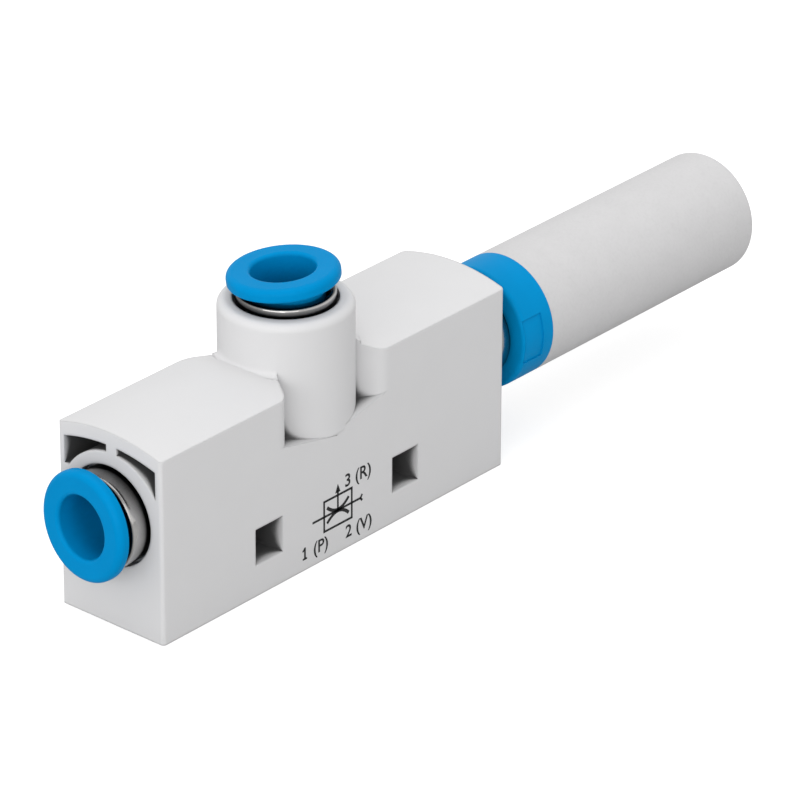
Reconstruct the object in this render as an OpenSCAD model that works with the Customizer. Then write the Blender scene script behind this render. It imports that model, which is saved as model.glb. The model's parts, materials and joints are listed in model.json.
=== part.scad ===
// T-shaped in-line vacuum ejector with two push-in tube ports and an open silencer.
// Millimetres. The origin is on the base, under the axis of the vacuum port.
// +X runs from the supply port to the silencer, +Z up the vacuum port.

/* [Housing] */
// Length of the housing along the jet axis
body_l = 52.5; // [50:0.1:60]
// Width of the housing
body_w = 14; // [13.9:0.1:16]
// How far the round tower stands proud of the side faces
tower_proud = 0.08; // [0.06:0.02:0.2]
// Height of the flat side faces
side_h = 20.6; // [20.2:0.1:23]
// Rise of the crowned top above the side faces
crown_rise = 1.1; // [0.6:0.1:1.6]
// Height of the jet axis above the base
axis_h = 12.4; // [11.8:0.1:13]
// Height of the tower's rim above the base
tower_h = 27.1; // [26.8:0.1:30]
// Rounding of the tower's rim
rim_round = 0.9; // [0.3:0.1:1.2]
// Fillet between the tower and the crowned top
tower_fillet = 0.6; // [0.4:0.1:1]
// Rounding of the housing's upright corners
edge_round = 0.4; // [0.2:0.05:0.6]

/* [Housing cut-outs] */
// Distance between the two square mounting holes
hole_pitch = 21; // [20:0.1:23]
// Side of the square mounting holes
hole_side = 4.1; // [3:0.1:4.4]
// Height of the mounting holes' centres above the base
hole_h = 5.6; // [4:0.1:6]
// Depth of the lightening pockets in the end faces
pocket_depth = 13; // [6:0.5:15]
// Wall between a pocket and the side face
side_wall = 0.8; // [0.6:0.1:1.2]
// Wall between a pocket and the crowned top
top_wall = 1.5; // [1:0.1:1.8]
// Wall of the boss around an end port
boss_wall = 1.5; // [1:0.1:1.5]
// Height of the lowest part of a pocket
pocket_foot = 16.2; // [15.4:0.1:17]
// How far the boss and the rib sit off the middle, towards the printed side
boss_shift = 0.3; // [0:0.05:0.35]
// Width of the rib that divides an end face's pockets
rib_w = 1.4; // [0.8:0.1:2.4]
// Distance from the tower's axis to the foot of a notch's slanted wall, on the supply side
inlet_notch_reach = 5.85; // [5.2:0.05:6.2]
// The same on the silencer's side
exhaust_notch_reach = 5.4; // [5.2:0.05:6.2]
// Slant of the notch walls, measured from the side face
notch_slant = 57; // [45:1:65]
// Rounding where a notch wall runs into the side face
notch_round = 1.8; // [0.8:0.1:2.2]
// Height of the notch floor on the supply side, carried on to the tower's axis
inlet_notch_floor = 13.55; // [13.4:0.05:15]
// The same on the silencer's side
exhaust_notch_floor = 14.1; // [13.4:0.05:15]
// Slope of the notch floors along the housing
notch_rise = 12; // [5:0.2:20]
// Slope of the notch floors down towards the middle
notch_tilt = 6; // [0:0.2:12]

/* [Push-in fittings] */
// Outer diameter of the tubes that the ports take
tube_d = 6; // [6:0.1:6.2]
// Radial clearance of a tube in its guide bore
tube_gap = 0.05; // [0.03:0.01:0.1]
// Outer diameter of the metal collars
collar_d = 10.4; // [10.2:0.1:10.8]
// Length of a collar
collar_l = 9.2; // [9:0.1:10]
// Wall of a collar around its inner parts
collar_wall = 0.45; // [0.3:0.05:0.55]
// Length of the narrow guide behind a collar's lip
lip_l = 1.6; // [1:0.1:1.8]
// Width of a collar's rim, outside its dished front
lip_w = 0.5; // [0.4:0.05:0.6]
// Depth of a collar's dished front
dish_d = 0.6; // [0.2:0.1:0.8]
// Rounding of a collar's outer edge
lip_round = 0.35; // [0.2:0.05:0.4]
// Radial gap around a collar at the housing's face
mouth_gap = 0.3; // [0.1:0.05:0.4]
// Depth of that gap
mouth_depth = 1.4; // [0.6:0.1:2]
// How far the supply collar stands out of the end face
inlet_proud = 2.2; // [1.5:0.1:3]
// How far the vacuum collar stands out of the tower
vacuum_proud = 0.9; // [0.4:0.1:2]
// How far the exhaust collar stands out of the end face
exhaust_proud = 3.5; // [2.8:0.1:3.6]
// Length of the tube guide bore behind the supply fitting
inlet_guide_l = 3.8; // [2.5:0.1:4.4]
// Length of the tube guide bore behind the vacuum fitting
vacuum_guide_l = 2.2; // [1.5:0.1:2.4]

/* [Release rings] */
// Diameter of a release ring's flange
flange_d = 11.8; // [11.4:0.1:12.2]
// Thickness of the flange
flange_t = 1.4; // [1.2:0.1:2]
// Rounding of the flange's front edge
flange_top_round = 0.7; // [0.4:0.05:0.8]
// Rounding of the flange's rear edge
flange_low_round = 0.3; // [0.1:0.05:0.35]
// Diameter of the tube's way through a release ring
ring_bore_d = 6.8; // [6.7:0.1:6.9]
// Rounding of the tube's way at the flange
bore_round = 0.4; // [0.2:0.05:0.6]
// Outer diameter of the neck that slides in the collar
neck_d = 8.2; // [8:0.1:8.3]
// Lean of the loose rings in their play, in degrees
ring_lean = 5; // [0:0.5:5]
// Which way the supply port's ring leans, from the side without print round to the top, in degrees
inlet_lean_way = 25; // [-180:5:180]
// Which way the vacuum port's ring leans, from the side without print round to the supply port
vacuum_lean_way = 35; // [-180:5:180]
// Travel of a release ring
ring_travel = 0.75; // [0.4:0.05:0.8]
// How far the supply port's ring stands out of its pressed place
inlet_rest = 0.03; // [0:0.01:0.4]
// How far the vacuum port's ring stands out of its pressed place
vacuum_rest = 0.45; // [0:0.05:0.75]
// Least gap left under the flange when the ring is pressed home
home_gap = 0.05; // [0.05:0.01:0.2]
// Radial running clearance of the neck in the collar's guide
run_gap = 0.15; // [0.12:0.01:0.2]
// How far the snap edge stays inside the collar's inner wall
snap_gap = 0.3; // [0.25:0.01:0.32]
// Width of the slots that let the ring's snap edge spring in
slot_w = 0.9; // [0.5:0.1:1.5]
// How far the ring reaches past the claw ring's rim
ring_reach = 0.6; // [0.5:0.05:0.65]

/* [Claw rings and seals] */
// Number of teeth on a claw ring
claw_teeth = 12; // [8:1:16]
// Inner diameter of the claw ring's flat rim, where its teeth begin
claw_rim_d = 8.4; // [8:0.1:8.8]
// Height of the cone that the teeth form
claw_drop = 1; // [0.6:0.1:1.1]
// Gap between two teeth
claw_slit = 0.44; // [0.2:0.02:0.6]
// Thickness of the claw ring's sheet
claw_t = 0.25; // [0.15:0.05:0.3]
// Depth of the claw ring below the collar's lip
claw_depth = 4.9; // [4.9:0.1:5.1]
// Length of the support ring behind the claws
support_l = 2; // [1.8:0.1:2.2]
// Radial thickness of the tube seal's lip
seal_lip = 0.7; // [0.4:0.1:0.8]
// Length of the tube seal's lip
seal_lip_l = 0.8; // [0.5:0.1:1]
// Width of the flat on the seal's lip and on the support ring's cone
seal_land = 0.25; // [0.1:0.05:0.4]

/* [Nozzles] */
// Diameter of the jet nozzle's throat
throat_d = 0.7; // [0.4:0.05:1.4]
// Outer diameter of the jet nozzle
jet_d = 5.4; // [5:0.1:5.8]
// Length of the jet nozzle
jet_l = 12.4; // [11:0.1:13]
// Wall of the jet nozzle at its entry
jet_wall = 1.2; // [0.8:0.1:1.4]
// Length of the jet's converging cone
jet_inlet_l = 3.1; // [2:0.1:4]
// Length of the jet's straight throat
throat_l = 0.5; // [0.3:0.1:1]
// Length of the jet's widening outlet
jet_outlet_l = 3.4; // [2.5:0.1:4]
// Length of the jet's tapered tip
jet_tip_l = 3; // [2:0.1:3.4]
// Diameter of the receiver nozzle's throat
receiver_throat_d = 1.3; // [0.9:0.05:2.2]
// Outer diameter of the receiver nozzle
receiver_d = 5.8; // [5.4:0.1:6.4]
// Diameter of the receiver nozzle's head
receiver_head_d = 8.2; // [7.8:0.1:9]
// Length of the receiver nozzle's head
receiver_head_l = 3; // [2.6:0.1:3.4]
// Length of the receiver's bell mouth
bell_l = 1.6; // [1:0.1:2.4]
// Length of the receiver's straight throat
receiver_throat_l = 4.8; // [3:0.1:6]
// Depth of the nozzles' O-ring grooves
groove_depth = 0.75; // [0.6:0.05:0.8]
// Distance from the jet's entry to its O-ring
jet_groove_at = 2.2; // [1.6:0.1:3]
// Distance between the jet's mouth and the receiver's mouth
jet_gap = 3; // [1.5:0.1:4]
// Diameter of the vacuum chamber around the jet
chamber_d = 6.2; // [6:0.1:6.6]
// Length of the tube stops' shoulders
stop_l = 1; // [0.6:0.1:1]

/* [Silencer] */
// How far the round silencer stays inside the housing's side faces
silencer_inset = 0.15; // [0:0.05:0.8]
// Length of the porous sleeve
sleeve_l = 34.8; // [20:0.2:60]
// Wall of the porous sleeve
sleeve_wall = 2.2; // [1.5:0.1:2.8]
// Thickness of the sleeve's closed end
sleeve_end = 3; // [2:0.1:5]
// Rounding of the sleeve's closed end
sleeve_round = 0.6; // [0.2:0.1:1.5]
// Length of the cap's coloured band
band_l = 4.7; // [4:0.1:8]
// Rounding of the band's front edge
band_round = 0.5; // [0.3:0.1:1.2]
// Gap between the collar's lip and the band
band_gap = 0.2; // [0.1:0.1:1]
// How much thinner the stem's end is than the neck, on each side
stem_step = 0.5; // [0.4:0.05:0.6]
// Land on each side of the stem's O-ring groove
stem_land = 0.5; // [0.4:0.05:0.6]
// Bore through the cap
cap_bore_d = 5; // [4:0.1:5.6]
// Length of the spigot that carries the sleeve
spigot_l = 4; // [2:0.5:8]
// Length of the stem in the exhaust collar
stem_l = 7.4; // [7.2:0.1:8]
// Distance from the stem's end to its O-ring
stem_groove_at = 2; // [1.6:0.1:2.4]
// Depth of the stem's O-ring groove
stem_groove_depth = 1.1; // [0.9:0.05:1.15]

/* [Hidden] */
$fn = 64;

cut = 1;          // how far a cutting shape runs past the face it opens
seat = 0.01;      // clearance between pieces that seat on each other
round_steps = 5;  // flats that round a notch's upright edge

half_l = body_l / 2;
half_w = body_w / 2;
tower_r = half_w + tower_proud;
crown_top = side_h + crown_rise;
crown_r = (half_w * half_w + crown_rise * crown_rise) / (2 * crown_rise);

collar_r = collar_d / 2;
collar_in_r = collar_r - collar_wall;
mouth_r = collar_r + mouth_gap;
neck_r = neck_d / 2;
lip_r = neck_r + run_gap;
guide_r = tube_d / 2 + tube_gap;
path_r = guide_r + tube_gap;            // way for the tube through rings and claws
bore_r = guide_r - stop_l;              // passage behind a tube stop
inlet_stop = -half_l - inlet_proud + collar_l + inlet_guide_l;
vacuum_stop = tower_h + vacuum_proud - collar_l - vacuum_guide_l;

// The release ring, counted inwards from its flange
snap_l = 0.7;
snap_r = collar_in_r - snap_gap;
ring_bore_r = ring_bore_d / 2;
home_lift = home_gap + collar_r * sin(ring_lean);   // gap under the flange's middle, pressed home
snap_top = lip_l + home_lift + ring_travel + snap_r * sin(ring_lean) + home_gap / 2;
ring_l = claw_depth + ring_reach;
lean_z = -(dish_d + lip_l) / 2;                      // the ring leans about the middle of the lip

// The pieces in a collar, counted inwards from its lip
claw_rim_r = claw_rim_d / 2;
support_top = claw_depth + claw_t + seat;
seal_top = support_top + support_l + seat;

jet_r = jet_d / 2;
jet_start = inlet_stop + stop_l;
jet_end = jet_start + jet_l;
receiver_r = receiver_d / 2;
receiver_start = jet_end + jet_gap;
head_r = receiver_head_d / 2;
head_start = half_l + exhaust_proud - collar_l - receiver_head_l;
jet_groove_x = jet_start + jet_groove_at;
receiver_groove_x = head_start + receiver_head_l / 2;
chamber_lead = 2;                       // length of the chamber around the jet's tip

silencer_r = half_w - silencer_inset;
band_x = half_l + exhaust_proud + band_gap;
sleeve_x = band_x + band_l;
spigot_r = silencer_r - sleeve_wall;
stem_r = neck_r - stem_step;
cap_bore_r = cap_bore_d / 2;
stem_groove = stem_l - stem_groove_at;   // from the collar's lip to the stem's O-ring

// Width of a groove for an O-ring of its depth
function groove_w(depth) = depth + 0.3;

// --- placing ---

module at_inlet() { translate([-half_l - inlet_proud, 0, axis_h]) rotate([0, -90, 0]) children(); }
module at_vacuum() { translate([0, 0, tower_h + vacuum_proud]) children(); }
module at_exhaust() { translate([half_l + exhaust_proud, 0, axis_h]) rotate([0, 90, 0]) children(); }
// A turned piece drawn as (radius, position along X)
module on_axis(x) { translate([x, 0, axis_h]) rotate([0, 90, 0]) children(); }

// What a rounding of radius r takes off an outer corner, with the rounding's centre at the origin
module corner_cut(r) {
  difference() {
    square(r + cut);
    circle(r = r);
  }
}

// --- housing ---

// Crowned outline standing on z = 0, with half width w and a crown of radius r
module crowned_outline(w, r) {
  intersection() {
    translate([0, crown_top - crown_r]) circle(r = r, $fn = 256);
    translate([-w, 0]) square([2 * w, crown_top]);
  }
}

// Rectangle with rounded corners, centred
module soft_rectangle(l, w, r) {
  square([l - 2 * r, w], center = true);
  square([l, w - 2 * r], center = true);
  for (x = [-1, 1], y = [-1, 1]) translate([x * (l / 2 - r), y * (w / 2 - r)]) circle(r = r, $fn = 48);
}

module block() {
  intersection() {
    rotate([90, 0, 90]) linear_extrude(body_l + cut, center = true)
      crowned_outline(half_w + cut, crown_r);
    translate([0, 0, -cut]) linear_extrude(crown_top + 2 * cut) soft_rectangle(body_l, body_w, edge_round);
  }
}

// Tower with a rounded rim, and a cone that lets its foot run out inside the side faces
module tower() {
  run_out = 4 * tower_proud;
  foot_z = inlet_notch_floor - run_out;
  rotate_extrude() difference() {
    polygon([
      [0, axis_h],
      [tower_r - run_out, axis_h],
      [tower_r - run_out, foot_z],
      [tower_r, foot_z + 2 * run_out],
      [tower_r, tower_h],
      [0, tower_h]
    ]);
    translate([tower_r - rim_round, tower_h - rim_round]) corner_cut(rim_round);
  }
}

// Fillet around the foot of the tower, between the side faces
module tower_foot() {
  foot_z = crown_top - crown_rise * 0.2;
  intersection() {
    rotate_extrude() difference() {
      translate([tower_r - cut, side_h - cut])
        square([tower_fillet + cut, foot_z + tower_fillet - side_h + cut]);
      translate([tower_r + tower_fillet, foot_z + tower_fillet]) circle(r = tower_fillet);
    }
    translate([-body_w, -half_w, 0]) cube([2 * body_w, body_w, tower_h]);
  }
}

// Wedge-shaped notch in one corner between the tower and a block, open to the side face
module notch(reach, floor_h) {
  foot_y = sqrt(tower_r * tower_r - reach * reach);                // where its wall leaves the tower
  wall_x = reach + (half_w - foot_y) / tan(notch_slant);           // corner of the slanted wall
  round_x = wall_x + notch_round * tan(notch_slant / 2);           // where its rounding starts
  outer_y = half_w + tower_fillet + cut;
  inner_y = foot_y - cut;
  intersection() {
    translate([0, 0, axis_h]) linear_extrude(crown_top) polygon([
      [tower_proud, outer_y],
      [round_x, outer_y],
      for (k = [0 : round_steps]) let (a = notch_slant * k / round_steps)
        [round_x - notch_round * sin(a), half_w - notch_round * (1 - cos(a))],
      [reach - cut / tan(notch_slant), inner_y],
      [tower_proud, inner_y]
    ]);
    translate([0, half_w, floor_h]) rotate([notch_tilt, -notch_rise, 0])
      translate([-body_w, -body_w, 0]) cube([3 * body_w, 2 * body_w, 2 * body_w]);
  }
}

// Two pockets under the crown, beside the rib that carries the port's boss
module pockets() {
  rotate([90, 0, 90]) linear_extrude(pocket_depth + cut) difference() {
    intersection() {
      crowned_outline(half_w - side_wall, crown_r - top_wall);
      translate([-half_w, pocket_foot]) square([body_w, crown_top]);
    }
    translate([-boss_shift, axis_h]) circle(r = mouth_r + boss_wall);
    translate([-boss_shift - rib_w / 2, 0]) square([rib_w, crown_top]);
  }
}

module mounting_hole() {
  translate([-hole_side / 2, -half_w - cut, hole_h - hole_side / 2])
    cube([hole_side, body_w + 2 * cut, hole_side]);
}

// Seat for a collar that stands proud of its face, with a gap around it at the face;
// drawn from the collar's lip inwards
module collar_seat(proud) {
  translate([0, 0, -collar_l - seat]) cylinder(r = collar_r + seat, h = collar_l);
  translate([0, 0, -proud - mouth_depth]) cylinder(r = mouth_r, h = proud + mouth_depth + cut);
}

// The tube's guide bore behind a collar's seat
module tube_guide(guide_l) {
  translate([0, 0, -collar_l - guide_l]) cylinder(r = guide_r, h = guide_l + cut);
}

// Passages from the supply port past the nozzles to the exhaust port
module passages() {
  on_axis(inlet_stop - cut) cylinder(r = bore_r, h = cut + stop_l + cut);
  on_axis(jet_start) cylinder(r = jet_r + seat, h = jet_l - chamber_lead);
  on_axis(jet_end - chamber_lead) cylinder(d = chamber_d, h = chamber_lead + jet_gap + stop_l);
  on_axis(receiver_start) cylinder(r = receiver_r + seat, h = head_start - receiver_start + cut);
  on_axis(head_start) cylinder(r = head_r + seat, h = receiver_head_l + cut);
  translate([0, 0, axis_h]) cylinder(r = bore_r, h = vacuum_stop - axis_h + cut);
}

module housing() {
  color([0.86, 0.86, 0.87]) difference() {
    union() {
      difference() {
        union() {
          block();
          tower_foot();
        }
        for (y = [0, 1]) mirror([0, y, 0]) {
          mirror([1, 0, 0]) notch(inlet_notch_reach, inlet_notch_floor);
          notch(exhaust_notch_reach, exhaust_notch_floor);
        }
      }
      tower();
    }
    for (x = [0, 1]) mirror([x, 0, 0]) translate([half_l - pocket_depth, 0, 0]) pockets();
    for (x = [-1, 1]) translate([x * hole_pitch / 2, 0, 0]) mounting_hole();
    at_inlet() collar_seat(inlet_proud);
    at_inlet() tube_guide(inlet_guide_l);
    at_vacuum() collar_seat(vacuum_proud);
    at_vacuum() tube_guide(vacuum_guide_l);
    at_exhaust() collar_seat(exhaust_proud);
    passages();
  }
}

// --- push-in fitting, drawn with the collar's lip at z = 0 and the tube coming from above ---

module collar() {
  color([0.72, 0.71, 0.69]) rotate_extrude() difference() {
    polygon([
      [lip_r, -dish_d],
      [collar_r - lip_w, 0],
      [collar_r, 0],
      [collar_r, -collar_l],
      [collar_in_r, -collar_l],
      [collar_in_r, -lip_l],
      [lip_r, -lip_l]
    ]);
    translate([collar_r - lip_round, -lip_round]) corner_cut(lip_round);
  }
}

// Flange, sliding neck and slotted snap edge, leaning in its play; lift is the gap under the flange
module release_ring(lift, way) {
  flange_r = flange_d / 2;
  tip_w = 0.25;
  color([0.0, 0.55, 0.83]) translate([0, 0, lean_z]) rotate([0, 0, way]) rotate([-ring_lean, 0, 0])
  rotate([0, 0, -way]) translate([0, 0, lift - lean_z]) difference() {
    rotate_extrude() difference() {
      polygon([
        [ring_bore_r, -ring_l],
        [ring_bore_r + tip_w, -ring_l],
        [neck_r - tip_w, -snap_top - snap_l],
        [snap_r, -snap_top - snap_l / 2],
        [snap_r, -snap_top],
        [neck_r, -snap_top],
        [neck_r, 0],
        [flange_r, 0],
        [flange_r, flange_t],
        [ring_bore_r, flange_t]
      ]);
      translate([ring_bore_r + bore_round, flange_t - bore_round]) mirror([1, 0]) corner_cut(bore_round);
      translate([flange_r - flange_top_round, flange_t - flange_top_round]) corner_cut(flange_top_round);
      translate([flange_r - flange_low_round, flange_low_round]) mirror([0, 1]) corner_cut(flange_low_round);
    }
    for (a = [0, 90]) rotate([0, 0, a])
      translate([-collar_r, -slot_w / 2, -ring_l - cut]) cube([collar_d, slot_w, ring_l - snap_top + cut]);
  }
}

// Flat rim with teeth that slant inwards and away from the mouth
module claw_ring() {
  rim_r = collar_in_r - seat;
  color([0.78, 0.78, 0.76]) difference() {
    rotate_extrude() polygon([
      [rim_r, -claw_depth],
      [claw_rim_r, -claw_depth],
      [path_r, -claw_depth - claw_drop],
      [path_r, -claw_depth - claw_drop - claw_t],
      [claw_rim_r, -claw_depth - claw_t],
      [rim_r, -claw_depth - claw_t]
    ]);
    for (k = [0 : claw_teeth - 1]) rotate([0, 0, k * 360 / claw_teeth])
      translate([0, -claw_slit / 2, -claw_depth - 2 * claw_drop])
        cube([claw_rim_r, claw_slit, 2 * claw_drop + cut]);
  }
}

// Backs the claws and keeps the seal in place, with a cone that lets the teeth spring
module support_ring() {
  rim_r = collar_in_r - seat;
  cone_z = -support_top - claw_drop - claw_t;
  color([0.25, 0.25, 0.27]) rotate_extrude() polygon([
    [rim_r, -support_top],
    [claw_rim_r, -support_top],
    [path_r + seal_land, cone_z],
    [path_r, cone_z],
    [path_r, -support_top - support_l],
    [rim_r, -support_top - support_l]
  ]);
}

// Rubber ring with a lip that leans inwards on the tube
module tube_seal() {
  rim_r = collar_in_r - seat;
  lip_in_r = guide_r + 2 * seat;
  floor_z = -collar_l + seat;
  color([0.12, 0.12, 0.13]) rotate_extrude() polygon([
    [rim_r, -seal_top],
    [lip_in_r + seal_lip, -seal_top],
    [lip_in_r, -seal_top - seal_lip_l],
    [lip_in_r, -seal_top - seal_lip_l - seal_land],
    [lip_in_r + seal_lip, floor_z],
    [rim_r, floor_z]
  ]);
}

module inlet_collar() { at_inlet() collar(); }
module inlet_release_ring() { at_inlet() release_ring(home_lift + inlet_rest, -inlet_lean_way); }
module inlet_claw_ring() { at_inlet() claw_ring(); }
module inlet_support_ring() { at_inlet() support_ring(); }
module inlet_tube_seal() { at_inlet() tube_seal(); }
module vacuum_collar() { at_vacuum() collar(); }
module vacuum_release_ring() { at_vacuum() release_ring(home_lift + vacuum_rest, vacuum_lean_way); }
module vacuum_claw_ring() { at_vacuum() claw_ring(); }
module vacuum_support_ring() { at_vacuum() support_ring(); }
module vacuum_tube_seal() { at_vacuum() tube_seal(); }
module exhaust_collar() { at_exhaust() collar(); }

// --- nozzles ---

// Ring that fills a groove between a shaft's groove floor and a bore
module o_ring(floor_r, bore_r) {
  section_r = (bore_r - floor_r) / 2 - seat;
  color([0.12, 0.12, 0.13]) rotate_extrude() translate([(bore_r + floor_r) / 2, 0]) circle(r = section_r);
}

// Groove around a shaft, centred on z = 0
module groove(shaft_r, depth) {
  rotate_extrude() translate([shaft_r - depth, -groove_w(depth) / 2]) square([depth + cut, groove_w(depth)]);
}

// Converging and diverging jet in a slim turned body
module jet_nozzle() {
  throat_r = throat_d / 2;
  entry_r = jet_r - jet_wall;
  throat_x = jet_l - jet_outlet_l - throat_l;
  color([0.75, 0.76, 0.78]) difference() {
    on_axis(jet_start) rotate_extrude() polygon([
      [entry_r, 0],
      [jet_r, 0],
      [jet_r, jet_l - jet_tip_l],
      [entry_r, jet_l],
      [throat_r * 1.5, jet_l],
      [throat_r, throat_x + throat_l],
      [throat_r, throat_x],
      [entry_r, throat_x - jet_inlet_l]
    ]);
    on_axis(jet_groove_x) groove(jet_r, groove_depth);
  }
}

module jet_o_ring() { on_axis(jet_groove_x) o_ring(jet_r - groove_depth, jet_r + seat); }

// Bell mouth, straight throat and long diffuser, with a head that seats behind the housing's step
module receiver_nozzle() {
  throat_r = receiver_throat_d / 2;
  head_x = head_start - receiver_start + seat;
  end_x = head_x + receiver_head_l - 2 * seat;
  color([0.90, 0.90, 0.86]) difference() {
    on_axis(receiver_start) rotate_extrude() polygon([
      [throat_r * 2, 0],
      [receiver_r - cut / 2, 0],
      [receiver_r, cut],
      [receiver_r, head_x],
      [head_r, head_x],
      [head_r, end_x],
      [throat_r * 2.6, end_x],
      [throat_r, bell_l + receiver_throat_l],
      [throat_r, bell_l]
    ]);
    on_axis(receiver_groove_x) groove(head_r, groove_depth);
  }
}

module receiver_o_ring() { on_axis(receiver_groove_x) o_ring(head_r - groove_depth, head_r + seat); }

// --- silencer ---

// Coloured band with a stem that snaps into the exhaust collar and a spigot for the sleeve
module silencer_cap() {
  color([0.0, 0.52, 0.78]) difference() {
    at_exhaust() rotate_extrude() {
      cap_stem();
      cap_band();
    }
    label_recess();
  }
}

// Section of the stem, from its end to the band: O-ring groove, snap edge and neck
module cap_stem() {
  flank_r = collar_in_r - 2 * seat;
  floor_r = collar_in_r - stem_groove_depth;
  groove_half = groove_w(stem_groove_depth) / 2;
  flank_half = groove_half + stem_land;
  snap_z = -lip_l - seat;
  polygon([
    [cap_bore_r, -stem_l],
    [stem_r, -stem_l],
    [stem_r, -stem_groove - flank_half],
    [flank_r, -stem_groove - flank_half],
    [flank_r, -stem_groove - groove_half],
    [floor_r, -stem_groove - groove_half],
    [floor_r, -stem_groove + groove_half],
    [flank_r, -stem_groove + groove_half],
    [flank_r, -stem_groove + flank_half],
    [stem_r, -stem_groove + flank_half],
    [stem_r, snap_z - 2 * snap_l],
    [snap_r, snap_z - snap_l / 2],
    [snap_r, snap_z],
    [neck_r, snap_z],
    [neck_r, band_gap + cut],
    [cap_bore_r, band_gap + cut]
  ]);
}

// Section of the band with a rounded front edge, and of the sleeve's spigot
module cap_band() {
  difference() {
    translate([cap_bore_r, band_gap]) square([silencer_r - cap_bore_r, band_l]);
    translate([silencer_r - band_round, band_gap + band_round]) mirror([0, 1]) corner_cut(band_round);
  }
  translate([cap_bore_r, band_gap + band_l - cut])
    square([spigot_r - seat - cap_bore_r, spigot_l + cut]);
}

// Shallow field on the band's front side, left plain
module label_recess() {
  depth = 0.15;
  margin = band_l * 0.05;
  intersection() {
    on_axis(band_x + margin) difference() {
      cylinder(r = silencer_r + cut, h = band_l * 0.62);
      translate([0, 0, -cut]) cylinder(r = silencer_r - depth, h = band_l + 2 * cut);
    }
    translate([band_x, 0, axis_h]) rotate([88, 0, 0])
      translate([0, -silencer_r * 0.36, 0]) cube([band_l, silencer_r * 0.72, 2 * silencer_r]);
  }
}

module exhaust_o_ring() {
  at_exhaust() translate([0, 0, -stem_groove]) o_ring(collar_in_r - stem_groove_depth, collar_in_r);
}

// Porous sleeve, closed at its far end
module silencer_sleeve() {
  color([0.93, 0.93, 0.93]) on_axis(sleeve_x + seat) rotate_extrude() difference() {
    square([silencer_r, sleeve_l]);
    translate([-cut, -cut]) square([spigot_r + cut, sleeve_l - sleeve_end + cut]);
    translate([silencer_r - sleeve_round, sleeve_l - sleeve_round]) corner_cut(sleeve_round);
  }
}

housing();
inlet_collar();
inlet_release_ring();
inlet_claw_ring();
inlet_support_ring();
inlet_tube_seal();
vacuum_collar();
vacuum_release_ring();
vacuum_claw_ring();
vacuum_support_ring();
vacuum_tube_seal();
jet_nozzle();
jet_o_ring();
receiver_nozzle();
receiver_o_ring();
exhaust_collar();
exhaust_o_ring();
silencer_cap();
silencer_sleeve();
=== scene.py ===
"""Vacuum ejector with push-in tube ports and a porous silencer, dressed for rendering."""

import json
import math

import bmesh
import bpy
from mathutils import Matrix, Vector


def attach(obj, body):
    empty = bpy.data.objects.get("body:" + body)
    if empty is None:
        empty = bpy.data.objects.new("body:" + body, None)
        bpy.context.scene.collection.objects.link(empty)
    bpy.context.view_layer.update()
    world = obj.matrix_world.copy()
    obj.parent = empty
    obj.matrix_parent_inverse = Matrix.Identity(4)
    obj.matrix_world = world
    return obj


MM = 0.001

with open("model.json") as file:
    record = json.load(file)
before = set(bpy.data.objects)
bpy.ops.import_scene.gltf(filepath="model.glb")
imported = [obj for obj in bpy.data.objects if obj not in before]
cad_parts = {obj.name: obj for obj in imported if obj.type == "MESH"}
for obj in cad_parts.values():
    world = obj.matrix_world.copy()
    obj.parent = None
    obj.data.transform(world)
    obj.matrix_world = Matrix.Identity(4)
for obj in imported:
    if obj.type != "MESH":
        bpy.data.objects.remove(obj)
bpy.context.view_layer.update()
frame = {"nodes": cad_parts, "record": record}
nodes = frame["nodes"]

mounts = {mount["name"]: mount for mount in frame["record"]["mounts"]}

# The flat side face that carries the print. The tower stands proud of it, so the housing's box is wider.
SIDE_Y = mounts["front_side_face"]["pos_m"][1]


# --- node trees ---

# Sockets of a colour Mix node, which has several of the same name
MIX_FACTOR, MIX_FIRST, MIX_SECOND, MIX_RESULT = 0, 6, 7, 2

# Samples of the occlusion that paints shade into recesses
PAINTED_SHADE_SAMPLES = 32
BEVEL_SAMPLES = 6

# How far the gloss strays to each side of its mean
GLOSS_SPREAD = 0.05


def grey(value):
    return (value, value, value)


def shade(colour, factor):
    return tuple(min(1.0, part * factor) for part in colour)


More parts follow.
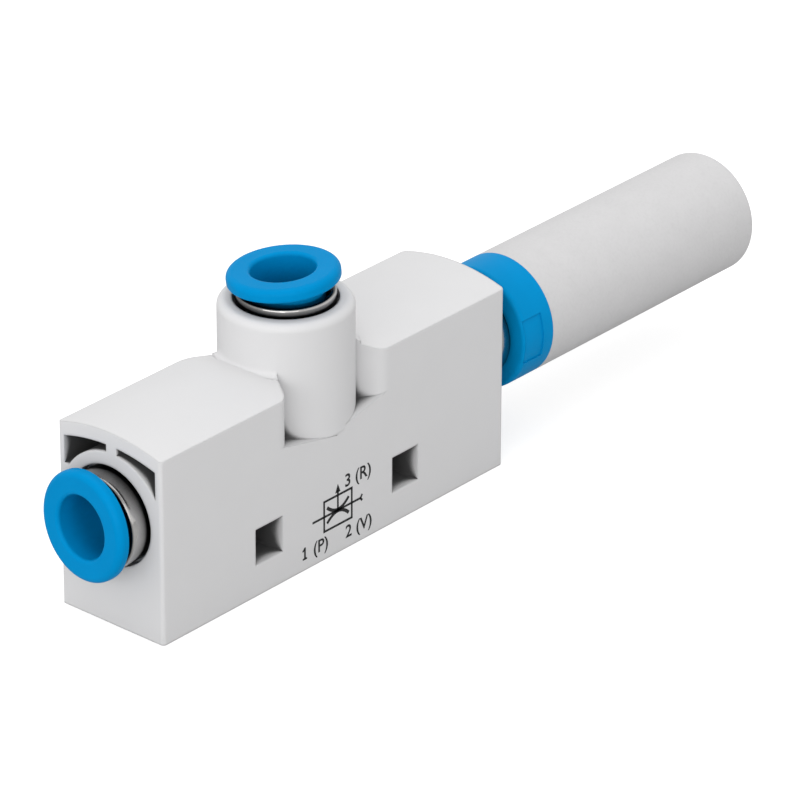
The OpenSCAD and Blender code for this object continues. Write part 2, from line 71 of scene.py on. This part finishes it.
class Tree:
    """Small helper that adds and links shader nodes."""

    def __init__(self, owner):
        owner.use_nodes = True
        self.tree = owner.node_tree
        self.tree.nodes.clear()

    def add(self, kind, inputs=None, **settings):
        node = self.tree.nodes.new(kind)
        for name, value in settings.items():
            setattr(node, name, value)
        for name, value in (inputs or {}).items():
            if isinstance(value, bpy.types.NodeSocket):
                self.tree.links.new(value, node.inputs[name])
            else:
                node.inputs[name].default_value = value
        return node

    def ramp(self, pattern, stops):
        """Colour that goes from the first of two stops to the second; each is a place and a colour."""
        node = self.add("ShaderNodeValToRGB", {"Fac": pattern})
        for element, (place, colour) in zip(node.color_ramp.elements, stops):
            element.position = place
            element.color = (*colour, 1.0)
        return node.outputs["Color"]

    def spread(self, pattern, low, high):
        """From low to high over the middle of a noise pattern, where most of its values lie."""
        return self.ramp(pattern, [(0.3, low), (0.7, high)])

    def mottled(self, pattern, colour, amount):
        return self.spread(pattern, shade(colour, 1 - amount), shade(colour, 1 + amount))

    def uneven_gloss(self, pattern, roughness):
        return self.spread(pattern, grey(roughness - GLOSS_SPREAD), grey(roughness + GLOSS_SPREAD))

    def multiply(self, colour, tone):
        inputs = {MIX_FACTOR: 1.0, MIX_FIRST: colour, MIX_SECOND: tone}
        node = self.add("ShaderNodeMix", inputs, data_type="RGBA", blend_type="MULTIPLY")
        return node.outputs[MIX_RESULT]

    def noise(self, size, detail, roughness=0.5):
        """Cloudy pattern of about this size, fixed to the piece."""
        place = self.add("ShaderNodeTexCoord").outputs["Object"]
        node = self.add(
            "ShaderNodeTexNoise",
            {"Vector": place, "Scale": 1.0 / size, "Detail": detail, "Roughness": roughness},
        )
        return node.outputs["Fac"]

    def bump(self, height, depth, strength, normal=None):
        inputs = {"Height": height, "Distance": depth, "Strength": strength}
        if normal is not None:
            inputs["Normal"] = normal
        return self.add("ShaderNodeBump", inputs).outputs["Normal"]

    def with_painted_shade(self, colour, reach, deepest_shade, ends=0.3, starts=0.4, own=True):
        """The colour with painted shade, darker where walls within reach close in: the piece's own,
        or those of the pieces beside it too.

        The painted shade starts where the open share of the surroundings falls to starts, and is
        deepest_shade times the colour from ends down.
        """
        occlusion = self.add(
            "ShaderNodeAmbientOcclusion",
            {"Distance": reach},
            samples=PAINTED_SHADE_SAMPLES,
            only_local=own,
        )
        tone = self.ramp(occlusion.outputs["AO"], [(ends, grey(deepest_shade)), (starts, grey(1.0))])
        return self.multiply(colour, tone)

    def surface(self, inputs):
        shader = self.add("ShaderNodeBsdfPrincipled", inputs)
        self.add("ShaderNodeOutputMaterial", {"Surface": shader.outputs["BSDF"]})


# --- materials ---

def moulded_plastic(name, colour, roughness, grain, grain_depth, mottle=0.03, gloss_level=0.5, deepest_shade=1.0,
                    neighbour_shade=1.0, edge=0.1 * MM):
    """Injection-moulded plastic: faint flow mottling, a fine eroded skin, uneven gloss, soft edges and
    painted shade.

    deepest_shade and neighbour_shade are what painted shade leaves of the colour in a recess of the
    piece's own and close beside another piece, where 1 leaves it as it is. edge is the radius that
    its edges look to have.
    """
    flow_size = 6 * MM
    wave_size = 4 * MM
    wave_depth = 0.012 * MM
    recess_shade_reach = 12 * MM
    neighbour_shade_reach = 2.5 * MM
    material = bpy.data.materials.new(name)
    tree = Tree(material)
    flow = tree.noise(flow_size, detail=3.0, roughness=0.6)
    base = tree.mottled(flow, colour, mottle)
    # Painted shade: the colour darkens in the piece's own recesses and close beside other pieces.
    if deepest_shade < 1:
        base = tree.with_painted_shade(base, recess_shade_reach, deepest_shade)
    if neighbour_shade < 1:
        base = tree.with_painted_shade(base, neighbour_shade_reach, neighbour_shade, own=False)
    skin = tree.noise(grain, detail=3.0, roughness=0.65)
    edges = tree.add("ShaderNodeBevel", {"Radius": edge}, samples=BEVEL_SAMPLES).outputs["Normal"]
    waves = tree.bump(tree.noise(wave_size, detail=1.0), wave_depth, strength=0.4, normal=edges)
    tree.surface({
        "Base Color": base,
        "Roughness": tree.uneven_gloss(skin, roughness),
        "IOR": 1.49,
        "Specular IOR Level": gloss_level,
        "Normal": tree.bump(skin, grain_depth, strength=1.0, normal=waves),
    })
    return material


def plated_metal(name, colour, roughness):
    """Nickel-plated turned metal: bright, faintly patchy, and with painted shade where pieces beside it
    close it in.
    """
    patch_size = 1.6 * MM
    grain = 0.09 * MM
    grain_depth = 0.0015 * MM
    recess_shade_reach = 5 * MM
    material = bpy.data.materials.new(name)
    tree = Tree(material)
    patches = tree.noise(patch_size, detail=3.0)
    base = tree.ramp(patches, [(0.25, shade(colour, 0.9)), (0.75, shade(colour, 1.06))])
    fine = tree.noise(grain, detail=2.0)
    tree.surface({
        # Painted shade: the colour goes down to near black where the pieces beside the collar close it in.
        "Base Color": tree.with_painted_shade(base, recess_shade_reach, deepest_shade=0.05, ends=0.55, starts=0.85, own=False),
        "Metallic": 1.0,
        "Roughness": tree.uneven_gloss(fine, roughness),
        "Normal": tree.bump(fine, grain_depth, strength=0.6),
    })
    return material


def porous_plastic(name, colour):
    """Sintered white granules: matt, pitted between the grains."""
    granule = 0.28 * MM
    pit_depth = 0.05 * MM
    pit_tone = 0.955
    cloud_size = 2.5 * MM
    cloud_tone = 0.97
    material = bpy.data.materials.new(name)
    tree = Tree(material)
    place = tree.add("ShaderNodeTexCoord").outputs["Object"]
    granules = tree.add(
        "ShaderNodeTexVoronoi",
        {"Vector": place, "Scale": 1.0 / granule, "Randomness": 1.0},
        feature="SMOOTH_F1",
    ).outputs["Distance"]
    pits = tree.ramp(granules, [(0.35, colour), (0.95, shade(colour, pit_tone))])
    clouds = tree.noise(cloud_size, detail=4.0, roughness=0.6)
    tree.surface({
        "Base Color": tree.multiply(pits, tree.spread(clouds, grey(cloud_tone), grey(1.0))),
        "Roughness": 0.9,
        "Specular IOR Level": 0.25,
        "Normal": tree.bump(granules, -pit_depth, strength=0.35),
    })
    return material


def plain_finish(name, colour, roughness, metallic=0.0, grain=0.15 * MM, vary=0.06):
    """Small inner piece or print: a fine grain in colour, gloss and height."""
    grain_depth = 0.004 * MM
    material = bpy.data.materials.new(name)
    tree = Tree(material)
    skin = tree.noise(grain, detail=2.0)
    tree.surface({
        "Base Color": tree.mottled(skin, colour, vary),
        "Metallic": metallic,
        "Roughness": tree.uneven_gloss(skin, roughness),
        "Normal": tree.bump(skin, grain_depth, strength=0.7),
    })
    return material


# Painted shade darkens the housing and the blue rings in their recesses, and the blue rings and the
# collars also where other pieces close them in.
materials = {
    "housing_plastic": moulded_plastic(
        "housing_plastic", (0.63, 0.628, 0.634), roughness=0.5, grain=0.16 * MM, grain_depth=0.004 * MM,
        mottle=0.008, deepest_shade=0.12, edge=0.35 * MM),
    "blue_plastic": moulded_plastic(
        "blue_plastic", (0.0, 0.232, 0.525), roughness=0.36, grain=0.12 * MM, grain_depth=0.002 * MM,
        gloss_level=0.02, deepest_shade=0.42, neighbour_shade=0.25),
    "blue_cap_plastic": moulded_plastic(
        "blue_cap_plastic", (0.0, 0.25, 0.56), roughness=0.4, grain=0.12 * MM, grain_depth=0.003 * MM,
        gloss_level=0.03),
    "plated_collar": plated_metal("plated_collar", (0.55, 0.54, 0.53), roughness=0.12),
    "porous_plastic": porous_plastic("porous_plastic", (0.595, 0.59, 0.595)),
    "spring_steel": plain_finish("spring_steel", (0.5, 0.5, 0.49), roughness=0.3, metallic=1.0),
    "inner_plastic": plain_finish("inner_plastic", (0.04, 0.04, 0.045), roughness=0.5),
    "seal_rubber": plain_finish("seal_rubber", (0.015, 0.015, 0.016), roughness=0.7),
    "jet_alloy": plain_finish("jet_alloy", (0.62, 0.63, 0.65), roughness=0.3, metallic=1.0),
    "natural_acetal": plain_finish("natural_acetal", (0.74, 0.74, 0.7), roughness=0.45),
    "side_print": plain_finish(
        "side_print", (0.007, 0.007, 0.008), roughness=0.75, grain=0.1 * MM, vary=0.2),
}

for part in frame["record"]["subparts"]:
    mesh = nodes[part["node"]].data
    mesh.materials.clear()
    mesh.materials.append(materials[part["material_slot"]])


# --- studio ---

def softbox(name, place, target, side, power):
    """Square soft lamp that faces its target."""
    data = bpy.data.lights.new(name, "AREA")
    data.shape = "SQUARE"
    data.size = side
    data.energy = power
    light = bpy.data.objects.new(name, data)
    light.location = place
    light.rotation_mode = "QUATERNION"
    light.rotation_quaternion = (light.location - Vector(target)).to_track_quat("Z", "Y")
    bpy.context.scene.collection.objects.link(light)


def studio_camera():
    """Long lens, low three-quarter view from the supply end."""
    target = Vector((8.94, -7.615, 14.38)) * MM
    azimuth = math.radians(-49.15)
    elevation = math.radians(26.88)
    roll = math.radians(0.177)
    distance = 580.8 * MM
    back = Vector((
        math.sin(azimuth) * math.cos(elevation),
        -math.cos(azimuth) * math.cos(elevation),
        math.sin(elevation),
    ))
    right = Vector((0, 0, 1)).cross(back).normalized()
    up = back.cross(right)
    turned_right = right * math.cos(roll) + up * math.sin(roll)
    turned_up = up * math.cos(roll) - right * math.sin(roll)
    data = bpy.data.cameras.new("studio_camera")
    data.lens = 254.35
    data.sensor_width = 36.0
    data.clip_start = 0.05
    data.clip_end = 20.0
    camera = bpy.data.objects.new("studio_camera", data)
    axes = Matrix((turned_right, turned_up, back)).transposed().to_4x4()
    camera.matrix_world = Matrix.Translation(target + back * distance) @ axes
    bpy.context.scene.collection.objects.link(camera)
    bpy.context.scene.camera = camera


def white_room():
    """White to the camera, in reflections and through clear material, and a plain fill light elsewhere."""
    fill_strength = 0.85
    world = bpy.data.worlds.new("white_room")
    bpy.context.scene.world = world
    tree = Tree(world)
    path = tree.add("ShaderNodeLightPath")
    fill = tree.add("ShaderNodeBackground", {"Color": (1, 1, 1, 1), "Strength": fill_strength})
    white = tree.add("ShaderNodeBackground", {"Color": (1, 1, 1, 1), "Strength": 1.0})
    is_white = path.outputs["Is Camera Ray"]
    for kind in ("Is Transmission Ray", "Is Glossy Ray"):
        either = tree.add("ShaderNodeMath", {0: is_white, 1: path.outputs[kind]}, operation="MAXIMUM")
        is_white = either.outputs[0]
    mix = tree.add("ShaderNodeMixShader", {0: is_white, 1: fill.outputs[0], 2: white.outputs[0]})
    tree.add("ShaderNodeOutputWorld", {"Surface": mix.outputs[0]})


def studio_floor():
    """Pale floor that keeps the soft shadow and is white to the camera elsewhere."""
    half_side = 4.0
    drop = 0.02 * MM
    tone = 0.52
    lift_strength = 0.65
    bm = bmesh.new()
    bmesh.ops.create_grid(bm, x_segments=1, y_segments=1, size=half_side)
    mesh = bpy.data.meshes.new("studio_floor")
    bm.to_mesh(mesh)
    bm.free()
    floor = bpy.data.objects.new("studio_floor", mesh)
    floor.location = (0, 0, -drop)
    bpy.context.scene.collection.objects.link(floor)
    material = bpy.data.materials.new("floor_white")
    tree = Tree(material)
    path = tree.add("ShaderNodeLightPath")
    matt = tree.add("ShaderNodeBsdfDiffuse", {"Color": (*grey(tone), 1.0)})
    lift = tree.add("ShaderNodeEmission", {"Color": (1, 1, 1, 1), "Strength": lift_strength})
    both = tree.add("ShaderNodeAddShader", {0: matt.outputs[0], 1: lift.outputs[0]})
    mix = tree.add(
        "ShaderNodeMixShader",
        {0: path.outputs["Is Camera Ray"], 1: matt.outputs[0], 2: both.outputs[0]},
    )
    tree.add("ShaderNodeOutputMaterial", {"Surface": mix.outputs[0]})
    mesh.materials.append(material)


studio_camera()
white_room()
studio_floor()
middle = (0.0, 0.0, 12 * MM)
softbox("left_softbox", (-0.75, -0.2, 0.13), middle, side=0.7, power=3.0)
softbox("front_softbox", (-0.5, -0.58, 0.38), middle, side=0.6, power=1.2)
softbox("top_softbox", (0.1, 0.15, 0.84), middle, side=0.8, power=2.2)


# --- printed marks on the side face, with x and z in millimetres ---

PRINT_LIFT = 0.006 * MM
PRINT_Y = SIDE_Y - PRINT_LIFT
LINE_W = 0.27 * MM


def strip(bm, points, width=LINE_W):
    """Flat line along points in the plane of the side face."""
    points = [Vector(point) * MM for point in points]
    left, right = [], []
    for index, point in enumerate(points):
        before = points[max(index - 1, 0)]
        after = points[min(index + 1, len(points) - 1)]
        way = (after - before).normalized()
        across = Vector((-way.y, way.x)) * width / 2
        left.append(bm.verts.new((point.x + across.x, PRINT_Y, point.y + across.y)))
        right.append(bm.verts.new((point.x - across.x, PRINT_Y, point.y - across.y)))
    for index in range(len(points) - 1):
        bm.faces.new((left[index], right[index], right[index + 1], left[index + 1]))


def bow(start, crest, end, steps=12):
    """Smooth curve from start through its crest to end."""
    start, crest, end = Vector(start), Vector(crest), Vector(end)
    pull = crest * 2 - (start + end) / 2
    curve = []
    for index in range(steps + 1):
        t = index / steps
        curve.append(start * (1 - t) ** 2 + pull * 2 * t * (1 - t) + end * t * t)
    return curve


def finish_print(bm, name):
    bmesh.ops.recalc_face_normals(bm, faces=bm.faces)
    mesh = bpy.data.meshes.new(name)
    bm.to_mesh(mesh)
    bm.free()
    piece = bpy.data.objects.new(name, mesh)
    bpy.context.scene.collection.objects.link(piece)
    mesh.materials.append(materials["side_print"])
    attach(piece, "ejector")


def ejector_symbol():
    """A frame with the flow line and its open end, the suction arrow and the two bows of a nozzle."""
    left, right, low, high = -2.15, 2.12, 3.25, 6.68
    flow_start, flow_end, flow_z = -3.95, 3.5, 4.95
    fork_foot, fork_tip, fork_overlap, fork_rise, fork_fall = 3.45, 3.75, 0.02, 0.38, 0.35
    arrow_x, arrow_foot, arrow_top = -0.03, 5.0, 7.3
    head_foot, head_tip, head_half = 7.0, 8.0, 0.41
    bow_left, bow_right, bow_w = -1.7, 1.65, LINE_W * 1.4
    corner = LINE_W / MM / 2
    bm = bmesh.new()
    for z in (low, high):
        strip(bm, [(left - corner, z), (right + corner, z)])
    for x in (left, right):
        strip(bm, [(x, low), (x, high)])
    strip(bm, [(flow_start, flow_z), (flow_end, flow_z)])
    strip(bm, [(fork_foot, flow_z - fork_overlap), (fork_tip, flow_z + fork_rise)])
    strip(bm, [(fork_foot, flow_z + fork_overlap), (fork_tip, flow_z - fork_fall)])
    strip(bm, [(arrow_x, arrow_foot), (arrow_x, arrow_top)])
    strip(bm, bow((bow_left, 5.86), (0.0, 5.05), (bow_right, 5.9)), bow_w)
    strip(bm, bow((bow_left, 4.04), (0.0, 4.86), (bow_right, 4.02)), bow_w)
    head = ((arrow_x - head_half, head_foot), (arrow_x + head_half, head_foot), (arrow_x, head_tip))
    bm.faces.new([bm.verts.new((x * MM, PRINT_Y, z * MM)) for x, z in head])
    finish_print(bm, "ejector_symbol")


def port_label(text, left, base, height):
    """Plain type, made a mesh before it is placed."""
    digit_top = 0.69                                     # height of a digit at a type size of 1
    curve = bpy.data.curves.new("port_label", "FONT")
    curve.body = text
    curve.size = 1.0
    curve.resolution_u = 4
    curve.offset = 0.018
    curve.space_character = 1.02
    letters = bpy.data.objects.new("port_label", curve)
    bpy.context.scene.collection.objects.link(letters)
    bpy.context.view_layer.update()
    graph = bpy.context.evaluated_depsgraph_get()
    mesh = bpy.data.meshes.new_from_object(letters.evaluated_get(graph))
    bpy.data.objects.remove(letters)
    bpy.data.curves.remove(curve)
    low = min(vertex.co.x for vertex in mesh.vertices)
    scale = height * MM / digit_top
    for vertex in mesh.vertices:
        x = left * MM + (vertex.co.x - low) * scale
        z = base * MM + vertex.co.y * scale
        vertex.co = (x, PRINT_Y, z)
    return mesh


def figure_one(bm):
    """The figure 1, drawn with a stem, a flag and a foot."""
    stem_x, base, top = -5.12, 1.25, 2.64
    left, flag_right, foot_right = -5.47, -5.05, -4.8
    flag_low, flag_high, foot_z = 2.22, 2.6, 1.33
    thin = LINE_W * 0.8
    strip(bm, [(stem_x, base), (stem_x, top)])
    strip(bm, [(left, flag_low), (flag_right, flag_high)], thin)
    strip(bm, [(left, foot_z), (foot_right, foot_z)], thin)


def port_numbers():
    """Numbers and letters of the three ports: 1 supply, 2 vacuum, 3 exhaust."""
    type_height = 1.4
    bm = bmesh.new()
    for text, left, base in (("(P)", -3.77, 1.25), ("2 (V)", 1.15, 1.2), ("3 (R)", 1.1, 7.15)):
        mesh = port_label(text, left, base, type_height)
        bm.from_mesh(mesh)
        bpy.data.meshes.remove(mesh)
    figure_one(bm)
    finish_print(bm, "port_numbers")


ejector_symbol()
port_numbers()

bpy.context.scene.view_settings.view_transform = "Standard"
